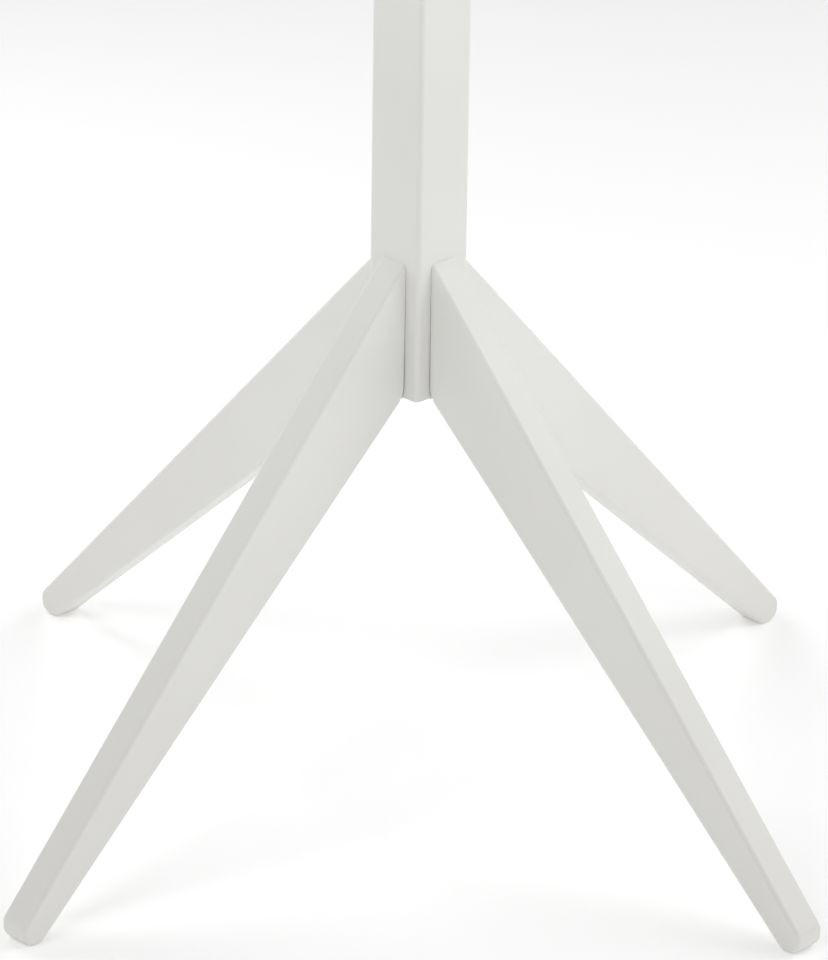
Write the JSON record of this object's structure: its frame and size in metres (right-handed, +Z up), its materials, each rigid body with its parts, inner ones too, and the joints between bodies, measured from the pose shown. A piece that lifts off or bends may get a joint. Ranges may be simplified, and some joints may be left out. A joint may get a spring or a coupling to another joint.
{
  "type": "standing coat rack",
  "caption": "Square wooden post on flat tapered board legs, with flat tapered arms near the top for coats; satin white lacquer.",
  "frame": {"origin": "on the floor under the middle of the post", "axes": "+Z up along the post; the legs point along +X, -X, +Y and -Y, and the leg towards -Y is the front one"},
  "size_m": [0.624, 0.624, 1.75],
  "materials": {
    "post_lacquer": "white satin lacquer",
    "leg_lacquer": "white satin lacquer",
    "arm_lacquer": "white satin lacquer",
    "plate_steel": "zinc plated",
    "fastener_steel": "zinc plated",
    "insert_brass": "turned",
    "dowel_beech": "unfinished beech"
  },
  "bodies": {
    "root": {"post_lower": "post_lacquer", "post_upper": "post_lacquer", "leg_front": "leg_lacquer", "leg_right": "leg_lacquer", "leg_back": "leg_lacquer", "leg_left": "leg_lacquer", "arm_upper_front": "arm_lacquer", "arm_upper_right": "arm_lacquer", "arm_upper_back": "arm_lacquer", "arm_upper_left": "arm_lacquer", "arm_lower_front": "arm_lacquer", "arm_lower_right": "arm_lacquer", "arm_lower_back": "arm_lacquer", "arm_lower_left": "arm_lacquer", "leg_plate": "plate_steel", "leg_plate_screw": "fastener_steel", "leg_screws": "fastener_steel", "post_stud": "fastener_steel", "post_insert_lower": "insert_brass", "post_insert_upper": "insert_brass", "post_dowels": "dowel_beech", "arm_bolts": "fastener_steel", "arm_inserts": "insert_brass", "arm_dowels": "dowel_beech"}
  },
  "joints": []
}
